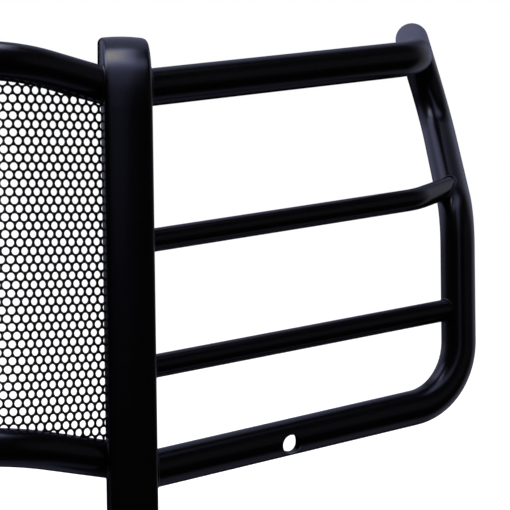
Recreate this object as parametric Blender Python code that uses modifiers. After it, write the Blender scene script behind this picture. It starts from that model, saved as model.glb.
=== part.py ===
"""Front grille guard for a pickup truck.

A punched plate and two arched tubes join a pair of wide rolled uprights. On each side a wing of bent tube
wraps back around the headlight, with two thinner bars across it. Tabs welded behind the uprights bolt to
frame brackets.

Metres, +Z up. X runs across the vehicle and +Y runs back towards it. The guard is laid out from the centre
plane and the axes of the uprights at their feet. At the end it is moved so that its origin is the middle of
its base.
"""

from math import cos, pi, radians, sin, tan

import bmesh
import bpy
from mathutils import Matrix, Quaternion, Vector

OBJECT_NAME = "front_grille_guard"

GAP = 0.0003  # clearance between pieces that touch or are welded
INCH = 0.0254

# Tube stock
MAIN_RADIUS = 1.0 * INCH
BAR_RADIUS = 0.625 * INCH
TUBE_WALL = 0.0024
TUBE_SIDES = 16
BEND_STEPS = 6

# Uprights: a wide post with a slightly crowned front, rolled straight back at the top
UPRIGHT_FOOT_X = 0.4125
UPRIGHT_LEAN = radians(0.745)
UPRIGHT_WIDTH = 0.065
UPRIGHT_DEPTH = 0.074
UPRIGHT_CROWN = 0.0022
UPRIGHT_CORNER = 0.006
UPRIGHT_WALL = 0.0032
UPRIGHT_AXIS_TOP = 0.7285  # height of the axis where it runs back
UPRIGHT_BEND_RADIUS = 0.062
UPRIGHT_RUN_BACK = 0.066  # how far the rolled top reaches behind the axis
UPRIGHT_CORNER_STEPS = 3
UPRIGHT_FACE_STATIONS = (-0.36, 0.0, 0.36)  # points across the crowned front, as shares of the half width
UPRIGHT_BEND_STEPS = 8
CUTTER_OVERRUN = 0.020  # how far a cutter runs past the ends of its upright

# Centre section: two arched tubes with the punched plate between them
CENTRE_TOP_Z = 0.691
CENTRE_BOTTOM_Z = 0.190
CENTRE_RISE = 0.0345
CENTRE_BEND_X = 0.257
CENTRE_FORWARD = 0.0676
CENTRE_SET_BACK = 0.020  # how far behind the upright axis the tube axis passes
CENTRE_SHORT = 0.020  # how far short of that point the tube ends, inside the upright
CENTRE_BEND_RADIUS = 0.160
PLATE_SET_BACK = 0.008  # how far behind the upright axis the plate's flat sides pass
PLATE_THICKNESS = 0.002
PLATE_BEND_RADIUS = 0.060

# Wings: the height of each bar's axis at the wing origin, and how the bars run from there
WING_ORIGIN_X = 0.410
WING_START_X = 0.424  # where the bars end inside the uprights
WING_TOP_Z = 0.6930
WING_UPPER_Z = 0.4872
WING_LOWER_Z = 0.3168
WING_BOTTOM_Z = 0.1794
WING_SWEEP = radians(23.28)
WING_RISE = 0.1383  # metres up for each metre across
WING_BOTTOM_RISE = 0.1501
WING_LEVEL_Z = 0.815  # height at which a bar would start level with the upright axis
WING_LAYBACK = 0.0253  # metres back for each metre up

# Outer corner of a wing, from the top bar round to the bottom bar
TOP_BAR_END_X = 0.840
RETURN_CORNER = Vector((0.887, 0.430, 0.806))
SHOULDER_CORNER = Vector((0.935, 0.470, 0.685))
CHEEK_CORNER = Vector((0.9115, 0.220, 0.523))
BOTTOM_BAR_END_X = 0.910
WING_BEND_RADII = (0.068, 0.066, 0.090, 0.090, 0.100)
UPPER_BAR_BEND_X = 0.839
UPPER_BAR_BEND_RADIUS = 0.080
UPPER_BAR_MEETS = 0.27  # share of the way from the cheek corner up to the shoulder corner
UPPER_BAR_FORWARD = 0.014  # how far in front of the frame's axis the upper bar ends
LOWER_BAR_MEETS_X = 0.909
LOWER_BAR_SET_BACK = 0.007  # how far the lower bar sits behind the plane of the other bars

# Cross hole through the bottom bar
CROSS_HOLE_X = 0.6375
CROSS_HOLE_DROP = 0.0078
CROSS_HOLE_RADIUS = 0.0137
CROSS_HOLE_SIDES = 24

# Closing plates of the uprights
CAP_THICKNESS = 0.003
CAP_INSET = 0.0005  # how far a plate's edge stays inside the upright's outline

# Weld tabs behind the uprights, and the brackets bolted to them
TAB_THICKNESS = 0.006
TAB_BACK = 0.112  # how far a tab reaches behind the upright axis
TAB_BOTTOM = 0.035
TAB_TOP = 0.285
TAB_CORNER = 0.018
BOLT_HEIGHTS = (0.065, 0.160, 0.255)
BOLT_BACK = 0.084  # distance of the bolts behind the upright axis
BRACKET_THICKNESS = 0.006
BRACKET_FRONT = 0.058
BRACKET_REAR = 0.330
BRACKET_FRONT_WIDTH = 0.055  # width of the bolted part, above the rear arm
BRACKET_ARM_TOP = 0.140
BRACKET_SHOULDER_DROP = 0.045  # straight rear edge of the bolted part, below its top
BRACKET_SHOULDER_RUN = 0.070  # length of the slope from that edge down to the arm
BRACKET_FILLET = 0.030
BRACKET_OVERRUN = 0.050  # how far the relief runs past the bracket's edges
BRACKET_FLANGE = 0.045
BRACKET_BEND_RADIUS = 0.012
SLOT_BACKS = (0.215, 0.290)
SLOT_HEIGHT = 0.092
SLOT_RADIUS = 0.0075
SLOT_LENGTH = 0.034

# Fasteners: 12 mm hex bolts
BOLT_RADIUS = 0.0060
BOLT_HOLE_RADIUS = 0.0068
BOLT_LENGTH = 0.034
HEAD_RADIUS = 0.0110
HEAD_HEIGHT = 0.0078
NUT_HEIGHT = 0.0105
WASHER_RADIUS = 0.0145
WASHER_THICKNESS = 0.0022
FASTENER_SIDES = 12


def clear_scene():
    for obj in list(bpy.data.objects):
        bpy.data.objects.remove(obj, do_unlink=True)


def new_collection(name):
    collection = bpy.data.collections.new(name)
    bpy.context.scene.collection.children.link(collection)
    return collection


def new_material(name, colour, roughness, metallic):
    material = bpy.data.materials.new(name)
    material.use_nodes = True
    shader = material.node_tree.nodes["Principled BSDF"]
    shader.inputs["Base Color"].default_value = (*colour, 1.0)
    shader.inputs["Roughness"].default_value = roughness
    shader.inputs["Metallic"].default_value = metallic
    return material


def powder_coat(name, shade=0.006, roughness=0.30):
    return new_material(name + "_coat", (shade, shade, shade * 1.25), roughness, 0.0)


def zinc_plate(name):
    return new_material(name + "_zinc", (0.55, 0.55, 0.57), 0.38, 1.0)


# Paths


def filleted_path(corners, radii, steps=BEND_STEPS):
    """A polyline through the corners, with each inner corner rounded to an arc of its own radius."""
    points = [corners[0].copy()]
    for before, corner, after, radius in zip(corners, corners[1:], corners[2:], radii):
        inward = (before - corner).normalized()
        outward = (after - corner).normalized()
        half_turn = (pi - inward.angle(outward)) / 2
        centre = corner + (inward + outward).normalized() * radius / cos(half_turn)
        spoke = corner + inward * radius * tan(half_turn) - centre
        axis = outward.cross(inward)
        for step in range(steps + 1):
            turn = Quaternion(axis, 2 * half_turn * step / steps)
            points.append(centre + turn @ spoke)
    points.append(corners[-1].copy())
    return points


def on_side(points, side):
    """The points of the right side, or their mirror image for side -1."""
    return [Vector((side * p.x, p.y, p.z)) for p in points]


def wing_bar_point(start_z, rise, x):
    """The point at x on a wing bar whose axis has height start_z at the wing origin."""
    across = x - WING_ORIGIN_X
    back = (start_z - WING_LEVEL_Z) * WING_LAYBACK + across * tan(WING_SWEEP)
    return Vector((x, back, start_z + across * rise))


def upright_axis_x(z):
    return UPRIGHT_FOOT_X - z * tan(UPRIGHT_LEAN)


def centre_path(upright_z):
    """Axis of an arched centre tube. It ends inside the uprights, just short of their axes."""
    passes = Vector((upright_axis_x(upright_z), CENTRE_SET_BACK, upright_z))
    bend = Vector((CENTRE_BEND_X, -CENTRE_FORWARD, upright_z + CENTRE_RISE))
    end = passes + (bend - passes).normalized() * CENTRE_SHORT
    corners = on_side([end, bend], -1) + [bend, end]
    return filleted_path(corners, [CENTRE_BEND_RADIUS] * 2)


def wing_frame_path(side):
    """Axis of a wing's bent main tube, from the upright along the top bar and back along the bottom bar."""
    corners = [
        wing_bar_point(WING_TOP_Z, WING_RISE, WING_START_X),
        wing_bar_point(WING_TOP_Z, WING_RISE, TOP_BAR_END_X),
        RETURN_CORNER,
        SHOULDER_CORNER,
        CHEEK_CORNER,
        wing_bar_point(WING_BOTTOM_Z, WING_BOTTOM_RISE, BOTTOM_BAR_END_X),
        wing_bar_point(WING_BOTTOM_Z, WING_BOTTOM_RISE, WING_START_X),
    ]
    return on_side(filleted_path(corners, WING_BEND_RADII), side)


def upper_bar_path(side):
    """Axis of the upper wing bar, which turns back near its end to reach the slope of the frame."""
    corners = [
        wing_bar_point(WING_UPPER_Z, WING_RISE, WING_START_X),
        wing_bar_point(WING_UPPER_Z, WING_RISE, UPPER_BAR_BEND_X),
        CHEEK_CORNER.lerp(SHOULDER_CORNER, UPPER_BAR_MEETS) - Vector((0.0, UPPER_BAR_FORWARD, 0.0)),
    ]
    return on_side(filleted_path(corners, [UPPER_BAR_BEND_RADIUS]), side)


def lower_bar_path(side):
    set_back = Vector((0.0, LOWER_BAR_SET_BACK, 0.0))
    ends = [wing_bar_point(WING_LOWER_Z, WING_RISE, x) + set_back for x in (WING_START_X, LOWER_BAR_MEETS_X)]
    return on_side(ends, side)


# Building blocks


def poly_spline(curve, points, closed=False):
    spline = curve.splines.new("POLY")
    spline.points.add(len(points) - 1)
    for slot, point in zip(spline.points, points):
        slot.co = (*point, 1.0)
    spline.use_cyclic_u = closed


def mesh_from_curve(curve_object, collection):
    """The curve as a mesh object in the same place, with its caps welded on."""
    bpy.context.scene.collection.objects.link(curve_object)
    evaluated = curve_object.evaluated_get(bpy.context.evaluated_depsgraph_get())
    mesh = bpy.data.meshes.new_from_object(evaluated)
    work = bmesh.new()
    work.from_mesh(mesh)
    bmesh.ops.remove_doubles(work, verts=work.verts, dist=1e-5)
    work.to_mesh(mesh)
    work.free()
    obj = bpy.data.objects.new(curve_object.name + "_mesh", mesh)
    obj.matrix_world = curve_object.matrix_world.copy()
    collection.objects.link(obj)
    bpy.data.objects.remove(curve_object, do_unlink=True)
    return obj


def finish_piece(obj, name, material, sharp_angle=radians(35)):
    obj.name = name
    obj.data.name = name
    obj.data.materials.clear()
    obj.data.materials.append(material)
    obj.data.shade_smooth()
    obj.data.set_sharp_from_angle(angle=sharp_angle)
    return obj


def finish_cutter(obj, name):
    obj.name = name
    obj.hide_render = True
    obj.display_type = "WIRE"
    return obj


def round_sweep(name, path, radius, caps, collection):
    curve = bpy.data.curves.new(name, "CURVE")
    curve.dimensions = "3D"
    curve.bevel_depth = radius
    curve.bevel_resolution = (TUBE_SIDES - 4) // 2
    curve.use_fill_caps = caps
    poly_spline(curve, path)
    return mesh_from_curve(bpy.data.objects.new(name, curve), collection)


def upright_section(grow=0.0):
    """Outline of an upright: a rounded rectangle whose front side is crowned. The front is at -Y."""
    half_width = UPRIGHT_WIDTH / 2 + grow
    half_depth = UPRIGHT_DEPTH / 2 + grow
    corner = UPRIGHT_CORNER + grow
    points = []
    for quarter in range(4):
        start = quarter * pi / 2
        centre_x = (half_width - corner) * (1 if quarter in (0, 3) else -1)
        centre_y = (half_depth - corner) * (1 if quarter in (0, 1) else -1)
        points += arc((centre_x, centre_y), corner, start, start + pi / 2, UPRIGHT_CORNER_STEPS)
        if quarter == 2:
            points += [Vector((x * half_width, -half_depth, 0.0)) for x in UPRIGHT_FACE_STATIONS]
    for point in points:
        if point.y < 0.0:
            point.y -= UPRIGHT_CROWN * (1.0 - (point.x / half_width) ** 2)
    return points


def upright_sweep(name, side, grow, past_ends, caps, collection):
    """The skin of an upright: its section drawn up from the foot, rolled back and drawn on to the rear."""
    bend_z = UPRIGHT_AXIS_TOP - UPRIGHT_BEND_RADIUS
    foot = Vector((side * upright_axis_x(-past_ends), 0.0, -past_ends))
    bend_start = Vector((side * upright_axis_x(bend_z), 0.0, bend_z))
    work = bmesh.new()
    ring = [work.verts.new(foot + point) for point in upright_section(grow)]
    foot_edges = [work.edges.new(pair) for pair in zip(ring, ring[1:] + ring[:1])]
    post = bmesh.ops.extrude_edge_only(work, edges=foot_edges)
    moved = [item for item in post["geom"] if isinstance(item, bmesh.types.BMVert)]
    bmesh.ops.translate(work, verts=moved, vec=bend_start - foot)
    post_edges = [item for item in post["geom"] if isinstance(item, bmesh.types.BMEdge)]
    post_edges = [edge for edge in post_edges if set(edge.verts) <= set(moved)]
    centre = bend_start + Vector((0.0, UPRIGHT_BEND_RADIUS, 0.0))
    roll = bmesh.ops.spin(
        work,
        geom=post_edges,
        cent=centre,
        axis=(1.0, 0.0, 0.0),
        angle=-pi / 2,
        steps=UPRIGHT_BEND_STEPS,
        use_duplicate=False,
    )
    end_edges = [item for item in roll["geom_last"] if isinstance(item, bmesh.types.BMEdge)]
    tail = bmesh.ops.extrude_edge_only(work, edges=end_edges)
    moved = [item for item in tail["geom"] if isinstance(item, bmesh.types.BMVert)]
    run = UPRIGHT_RUN_BACK + past_ends - UPRIGHT_BEND_RADIUS
    bmesh.ops.translate(work, verts=moved, vec=(0.0, run, 0.0))
    if caps:
        bmesh.ops.holes_fill(work, edges=work.edges, sides=0)
    bmesh.ops.recalc_face_normals(work, faces=work.faces)
    mesh = bpy.data.meshes.new(name)
    work.to_mesh(mesh)
    work.free()
    obj = bpy.data.objects.new(name, mesh)
    collection.objects.link(obj)
    return obj


def hollow(obj, wall):
    """Turns the open skin of a tube into a tube with a wall, keeping its outside."""
    solidify = obj.modifiers.new("wall", "SOLIDIFY")
    solidify.thickness = wall
    solidify.offset = -1.0
    solidify.use_even_offset = True
    return obj


def cut(obj, *cutters):
    for cutter in cutters:
        boolean = obj.modifiers.new("cut_" + cutter.name, "BOOLEAN")
        boolean.operation = "DIFFERENCE"
        boolean.solver = "EXACT"
        boolean.object = cutter
    return obj


def arc(centre, radius, start, end, steps):
    """Points of an arc in the XY plane, both ends included."""
    turns = [start + (end - start) * step / steps for step in range(steps + 1)]
    return [Vector((centre[0] + radius * cos(t), centre[1] + radius * sin(t), 0.0)) for t in turns]


def rounded_outline(low, high, corner, steps=4):
    """Corner-rounded rectangle between two corners in the XY plane."""
    points = arc((high[0] - corner, high[1] - corner), corner, 0, pi / 2, steps)
    points += arc((low[0] + corner, high[1] - corner), corner, pi / 2, pi, steps)
    points += arc((low[0] + corner, low[1] + corner), corner, pi, 3 * pi / 2, steps)
    points += arc((high[0] - corner, low[1] + corner), corner, 3 * pi / 2, 2 * pi, steps)
    return points


def circle_outline(centre, radius, sides=FASTENER_SIDES):
    return arc(centre, radius, 0, 2 * pi * (sides - 1) / sides, sides - 1)


def flat_piece(name, outlines, thickness, matrix, collection):
    """A flat piece from outlines in its own XY plane, centred on that plane. Inner outlines are holes."""
    curve = bpy.data.curves.new(name, "CURVE")
    curve.dimensions = "2D"
    curve.fill_mode = "BOTH"
    curve.extrude = thickness / 2
    for outline in outlines:
        poly_spline(curve, outline, closed=True)
    obj = bpy.data.objects.new(name, curve)
    obj.matrix_world = matrix
    return mesh_from_curve(obj, collection)


def side_plane(x):
    """Matrix that stands a flat piece up facing X: its own x runs back, its own y runs up."""
    axes = Matrix(((0, 0, 1), (1, 0, 0), (0, 1, 0))).to_4x4()
    return Matrix.Translation((x, 0.0, 0.0)) @ axes


# Pieces


def make_centre_tubes(parts, upright_cutters):
    for name, upright_z in (("centre_top_tube", CENTRE_TOP_Z), ("centre_bottom_tube", CENTRE_BOTTOM_Z)):
        tube = round_sweep(name, centre_path(upright_z), MAIN_RADIUS, False, parts)
        cut(hollow(tube, TUBE_WALL), *upright_cutters)
        finish_piece(tube, name, powder_coat(name))


def make_punched_plate(parts, cutters):
    """One sheet, folded where the tubes bend, whose edges follow the tubes above and below."""
    end_x = upright_axis_x((CENTRE_TOP_Z + CENTRE_BOTTOM_Z) / 2)
    end = Vector((end_x, PLATE_SET_BACK, 0.0))
    bend = Vector((CENTRE_BEND_X, -CENTRE_FORWARD, 0.0))
    plan = filleted_path(on_side([end, bend], -1) + [bend, end], [PLATE_BEND_RADIUS] * 2, 5)

    def rise(x):
        return CENTRE_RISE * min(1.0, (end_x - abs(x)) / (end_x - CENTRE_BEND_X))

    sheet = bmesh.new()
    columns = []
    for point in plan:
        foot = sheet.verts.new((point.x, point.y, CENTRE_BOTTOM_Z + rise(point.x)))
        head = sheet.verts.new((point.x, point.y, CENTRE_TOP_Z + rise(point.x)))
        columns.append((foot, head))
    for (foot_a, head_a), (foot_b, head_b) in zip(columns, columns[1:]):
        sheet.faces.new((foot_a, foot_b, head_b, head_a))
    mesh = bpy.data.meshes.new("punched_plate")
    sheet.to_mesh(mesh)
    sheet.free()
    plate = bpy.data.objects.new("punched_plate", mesh)
    parts.objects.link(plate)
    solidify = plate.modifiers.new("sheet", "SOLIDIFY")
    solidify.thickness = PLATE_THICKNESS
    solidify.offset = 0.0
    tube_cutters = []
    for name, upright_z in (("above_plate", CENTRE_TOP_Z), ("below_plate", CENTRE_BOTTOM_Z)):
        cutter = round_sweep(name, centre_path(upright_z), MAIN_RADIUS + GAP, True, cutters)
        tube_cutters.append(finish_cutter(cutter, name))
    return plate, tube_cutters


def make_upright(side, label, parts):
    name = "upright_" + label
    upright = upright_sweep(name, side, 0.0, 0.0, False, parts)
    hollow(upright, UPRIGHT_WALL)
    finish_piece(upright, name, powder_coat(name))


def make_upright_caps(side, label, parts):
    """Flat plates that close the rear end of the rolled top and the foot."""
    outline = upright_section(-CAP_INSET)
    top_x = side * upright_axis_x(UPRIGHT_AXIS_TOP)
    rear_y = UPRIGHT_RUN_BACK + GAP + CAP_THICKNESS / 2
    rear_turn = Matrix(((1, 0, 0), (0, 0, 1), (0, -1, 0))).to_4x4()
    rear_place = Matrix.Translation((top_x, rear_y, UPRIGHT_AXIS_TOP)) @ rear_turn
    name = "upright_rear_cap_" + label
    cap = flat_piece(name, [outline], CAP_THICKNESS, rear_place, parts)
    finish_piece(cap, name, powder_coat(name))
    foot_place = Matrix.Translation((side * UPRIGHT_FOOT_X, 0.0, -GAP - CAP_THICKNESS / 2))
    name = "upright_foot_plate_" + label
    foot = flat_piece(name, [outline], CAP_THICKNESS, foot_place, parts)
    finish_piece(foot, name, powder_coat(name))


def make_wing(side, label, parts, cutters, upright_cutter):
    name = "wing_frame_" + label
    frame = round_sweep(name, wing_frame_path(side), MAIN_RADIUS, False, parts)
    hole_axis = wing_bar_point(WING_BOTTOM_Z, WING_BOTTOM_RISE, CROSS_HOLE_X)
    bpy.ops.mesh.primitive_cylinder_add(
        vertices=CROSS_HOLE_SIDES, radius=CROSS_HOLE_RADIUS, depth=4 * MAIN_RADIUS
    )
    drill = finish_cutter(bpy.context.object, "cross_hole_" + label)
    drill.rotation_euler = (pi / 2, 0.0, 0.0)
    drill.location = (side * hole_axis.x, hole_axis.y, hole_axis.z - CROSS_HOLE_DROP)
    move_to(drill, cutters)
    cut(hollow(frame, TUBE_WALL), upright_cutter, drill)
    finish_piece(frame, name, powder_coat(name))

    cutter_name = "frame_cutter_" + label
    frame_cutter = round_sweep(cutter_name, wing_frame_path(side), MAIN_RADIUS + GAP, True, cutters)
    finish_cutter(frame_cutter, cutter_name)
    for bar_name, bar_path in (("wing_upper_bar_", upper_bar_path), ("wing_lower_bar_", lower_bar_path)):
        name = bar_name + label
        bar = round_sweep(name, bar_path(side), BAR_RADIUS, False, parts)
        cut(hollow(bar, TUBE_WALL), upright_cutter, frame_cutter)
        finish_piece(bar, name, powder_coat(name))


def move_to(obj, collection):
    for old in list(obj.users_collection):
        old.objects.unlink(obj)
    collection.objects.link(obj)


def make_mount_tab(side, label, parts, upright_cutter):
    name = "mount_tab_" + label
    outline = rounded_outline((0.0, TAB_BOTTOM), (TAB_BACK, TAB_TOP), TAB_CORNER)
    holes = [circle_outline((BOLT_BACK, z), BOLT_HOLE_RADIUS) for z in BOLT_HEIGHTS]
    tab = flat_piece(name, [outline, *holes], TAB_THICKNESS, side_plane(side * UPRIGHT_FOOT_X), parts)
    cut(tab, upright_cutter)
    finish_piece(tab, name, powder_coat(name))


def make_frame_bracket(side, label, parts, cutters):
    """A bent plate: a leg against the tab that narrows to a rear arm, with a flange along its foot."""
    name = "frame_bracket_" + label
    leg_x = UPRIGHT_FOOT_X - TAB_THICKNESS / 2 - GAP
    bend_centre = (leg_x - BRACKET_BEND_RADIUS, TAB_BOTTOM + BRACKET_BEND_RADIUS)
    inner_radius = BRACKET_BEND_RADIUS - BRACKET_THICKNESS
    flange_x = leg_x - BRACKET_FLANGE
    outline = arc(bend_centre, BRACKET_BEND_RADIUS, 0, -pi / 2, 5)
    outline += [Vector((flange_x, TAB_BOTTOM, 0)), Vector((flange_x, TAB_BOTTOM + BRACKET_THICKNESS, 0))]
    outline += arc(bend_centre, inner_radius, -pi / 2, 0, 5)
    outline += [Vector((leg_x - BRACKET_THICKNESS, TAB_TOP, 0)), Vector((leg_x, TAB_TOP, 0))]
    length = BRACKET_REAR - BRACKET_FRONT
    middle = Matrix.Translation((0.0, (BRACKET_REAR + BRACKET_FRONT) / 2, 0.0))
    place = middle @ Matrix.Rotation(pi / 2, 4, "X")
    bracket = flat_piece(name, [on_side(outline, side)], length, place, parts)
    drills = []
    for number, z in enumerate(BOLT_HEIGHTS, 1):
        hole = [circle_outline((BOLT_BACK, z), BOLT_HOLE_RADIUS)]
        drill = flat_piece("drill", hole, 4 * TAB_THICKNESS, side_plane(side * leg_x), cutters)
        drills.append(finish_cutter(drill, f"bolt_hole_{label}_{number}"))
    reach = SLOT_LENGTH / 2 - SLOT_RADIUS
    for number, back in enumerate(SLOT_BACKS, 1):
        slot = arc((back + reach, SLOT_HEIGHT), SLOT_RADIUS, -pi / 2, pi / 2, 6)
        slot += arc((back - reach, SLOT_HEIGHT), SLOT_RADIUS, pi / 2, 3 * pi / 2, 6)
        punch = flat_piece("punch", [slot], 4 * BRACKET_THICKNESS, side_plane(side * leg_x), cutters)
        drills.append(finish_cutter(punch, f"slot_{label}_{number}"))
    edge = BRACKET_FRONT + BRACKET_FRONT_WIDTH
    past_top = TAB_TOP + BRACKET_OVERRUN
    past_rear = BRACKET_REAR + BRACKET_OVERRUN
    corners = [
        Vector((edge, past_top, 0)),
        Vector((edge, TAB_TOP - BRACKET_SHOULDER_DROP, 0)),
        Vector((edge + BRACKET_SHOULDER_RUN, BRACKET_ARM_TOP, 0)),
        Vector((past_rear, BRACKET_ARM_TOP, 0)),
    ]
    above_arm = filleted_path(corners, [BRACKET_FILLET] * 2, 4)
    above_arm.append(Vector((past_rear, past_top, 0)))
    relief = flat_piece("relief", [above_arm], 4 * BRACKET_THICKNESS, side_plane(side * leg_x), cutters)
    drills.append(finish_cutter(relief, "relief_" + label))
    cut(bracket, *drills)
    finish_piece(bracket, name, powder_coat(name))


def hexagon(radius):
    return circle_outline((0.0, 0.0), radius, 6)


def make_fasteners(side, label, parts, cutters):
    """At each bolt height: the bolt from outside, a washer under its head, a washer and a nut inside."""
    tab_outer = UPRIGHT_FOOT_X + TAB_THICKNESS / 2
    leg_inner = UPRIGHT_FOOT_X - TAB_THICKNESS / 2 - GAP - BRACKET_THICKNESS
    for number, z in enumerate(BOLT_HEIGHTS, 1):
        place = Matrix.Translation((0.0, BOLT_BACK, z))
        tag = f"{label}_{number}"
        ring = [circle_outline((0, 0), WASHER_RADIUS), circle_outline((0, 0), BOLT_HOLE_RADIUS)]
        outer_x = tab_outer + GAP + WASHER_THICKNESS / 2
        inner_x = leg_inner - GAP - WASHER_THICKNESS / 2
        for kind, x in (("head_washer", outer_x), ("nut_washer", inner_x)):
            washer = flat_piece(kind, ring, WASHER_THICKNESS, place @ side_plane(side * x), parts)
            finish_piece(washer, f"{kind}_{tag}", zinc_plate(f"{kind}_{tag}"))
        head_x = outer_x + WASHER_THICKNESS / 2 + GAP
        make_bolt(side, tag, head_x, place, parts, cutters)
        nut_x = inner_x - WASHER_THICKNESS / 2 - GAP - NUT_HEIGHT / 2
        outlines = [hexagon(HEAD_RADIUS), circle_outline((0, 0), BOLT_RADIUS + GAP)]
        nut = flat_piece("nut", outlines, NUT_HEIGHT, place @ side_plane(side * nut_x), parts)
        finish_piece(nut, f"lock_nut_{tag}", zinc_plate(f"lock_nut_{tag}"), radians(25))


def make_bolt(side, tag, head_x, place, parts, cutters):
    """A hex head with its shank joined on. Both lie along X, with the shank towards the centre plane."""
    centre_x = side * (head_x + HEAD_HEIGHT / 2)
    bolt = flat_piece("head", [hexagon(HEAD_RADIUS)], HEAD_HEIGHT, place @ side_plane(centre_x), parts)
    length = BOLT_LENGTH + HEAD_HEIGHT / 2
    shank_x = side * (head_x - BOLT_LENGTH + length / 2)
    round_bar = [circle_outline((0, 0), BOLT_RADIUS)]
    shank = flat_piece("shank", round_bar, length, place @ side_plane(shank_x), cutters)
    finish_cutter(shank, "shank_" + tag)
    join = bolt.modifiers.new("join_shank", "BOOLEAN")
    join.operation = "UNION"
    join.solver = "EXACT"
    join.object = shank
    finish_piece(bolt, "hex_bolt_" + tag, zinc_plate("hex_bolt_" + tag), radians(25))


def centre_on_base(parts, cutters):
    """Moves the guard so that its origin is the middle of its base: halfway back, level with its feet."""
    depsgraph = bpy.context.evaluated_depsgraph_get()
    corners = []
    for piece in parts.objects:
        box = piece.evaluated_get(depsgraph).bound_box
        corners += [piece.matrix_world @ Vector(corner) for corner in box]
    front = min(corner.y for corner in corners)
    rear = max(corner.y for corner in corners)
    base = min(corner.z for corner in corners)
    for obj in (*parts.objects, *cutters.objects):
        obj.location += Vector((0.0, -(front + rear) / 2, -base))


def main():
    clear_scene()
    parts = new_collection(OBJECT_NAME)
    cutters = new_collection("cutters")
    sides = ((1, "right"), (-1, "left"))
    upright_cutters = {}
    for side, label in sides:
        cutter = upright_sweep("upright_cutter_" + label, side, GAP, CUTTER_OVERRUN, True, cutters)
        upright_cutters[side] = finish_cutter(cutter, "upright_cutter_" + label)
    make_centre_tubes(parts, upright_cutters.values())
    plate, tube_cutters = make_punched_plate(parts, cutters)
    cut(plate, *tube_cutters, *upright_cutters.values())
    finish_piece(plate, "punched_plate", powder_coat("punched_plate"))
    for side, label in sides:
        make_upright(side, label, parts)
        make_upright_caps(side, label, parts)
        make_wing(side, label, parts, cutters, upright_cutters[side])
        make_mount_tab(side, label, parts, upright_cutters[side])
        make_frame_bracket(side, label, parts, cutters)
        make_fasteners(side, label, parts, cutters)
    centre_on_base(parts, cutters)


main()
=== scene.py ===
"""Looks of the front grille guard: tubes, rolled uprights, punched plate, welds, fasteners and paint."""

from math import cos, exp, pi, radians, sin, sqrt, tan

import bmesh
import bpy
from mathutils import Matrix, Quaternion, Vector
from mathutils.bvhtree import BVHTree


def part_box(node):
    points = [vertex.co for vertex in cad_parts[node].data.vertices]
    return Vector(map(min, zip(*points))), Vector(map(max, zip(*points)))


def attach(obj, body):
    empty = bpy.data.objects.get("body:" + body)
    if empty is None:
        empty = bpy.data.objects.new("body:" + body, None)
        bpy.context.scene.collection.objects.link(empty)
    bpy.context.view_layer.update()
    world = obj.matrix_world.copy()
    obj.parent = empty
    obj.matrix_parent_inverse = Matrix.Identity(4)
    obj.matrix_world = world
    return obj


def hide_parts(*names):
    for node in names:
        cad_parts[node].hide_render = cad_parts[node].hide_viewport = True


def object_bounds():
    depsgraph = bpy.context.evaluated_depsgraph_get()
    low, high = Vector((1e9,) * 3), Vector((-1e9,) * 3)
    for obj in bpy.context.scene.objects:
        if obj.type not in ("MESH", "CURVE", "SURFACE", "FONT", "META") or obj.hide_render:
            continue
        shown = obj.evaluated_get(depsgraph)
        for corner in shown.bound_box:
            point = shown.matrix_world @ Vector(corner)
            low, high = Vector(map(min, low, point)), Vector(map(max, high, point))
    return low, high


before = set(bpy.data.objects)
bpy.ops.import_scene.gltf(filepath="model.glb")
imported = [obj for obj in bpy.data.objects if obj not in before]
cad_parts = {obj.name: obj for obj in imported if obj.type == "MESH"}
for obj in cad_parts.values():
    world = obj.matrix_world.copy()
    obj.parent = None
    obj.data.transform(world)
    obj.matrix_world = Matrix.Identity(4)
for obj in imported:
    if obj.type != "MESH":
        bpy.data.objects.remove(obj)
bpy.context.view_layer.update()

GAP = 0.0003
INCH = 0.0254
SIDES = ((1, "right"), (-1, "left"))

# Edges sharper than these stay sharp in the shading
TUBE_SHARP = radians(40)
UPRIGHT_SHARP = radians(50)
PLATE_SHARP = radians(50)
WELD_SHARP = radians(60)
HEX_SHARP = radians(25)
WASHER_SHARP = radians(30)

# Tube stock
MAIN_RADIUS = 1.0 * INCH
BAR_RADIUS = 0.625 * INCH
TUBE_WALL = 0.0024
TUBE_SIDES = 48
BEND_STEP = radians(4)
STEEP = 0.9  # a path that starts steeper than this takes its first cross direction from Y, not from Z

# Uprights
UPRIGHT_FOOT_X = 0.4125
UPRIGHT_LEAN = radians(0.745)
UPRIGHT_WIDTH = 0.065
UPRIGHT_DEPTH = 0.074
UPRIGHT_CROWN = 0.0022
UPRIGHT_CORNER = 0.006
UPRIGHT_WALL = 0.0032
UPRIGHT_AXIS_TOP = 0.7285
UPRIGHT_BEND_RADIUS = 0.062
UPRIGHT_RUN_BACK = 0.066
UPRIGHT_CORNER_STEPS = 8
UPRIGHT_FACE_STEPS = 12
CAP_THICKNESS = 0.003

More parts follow.
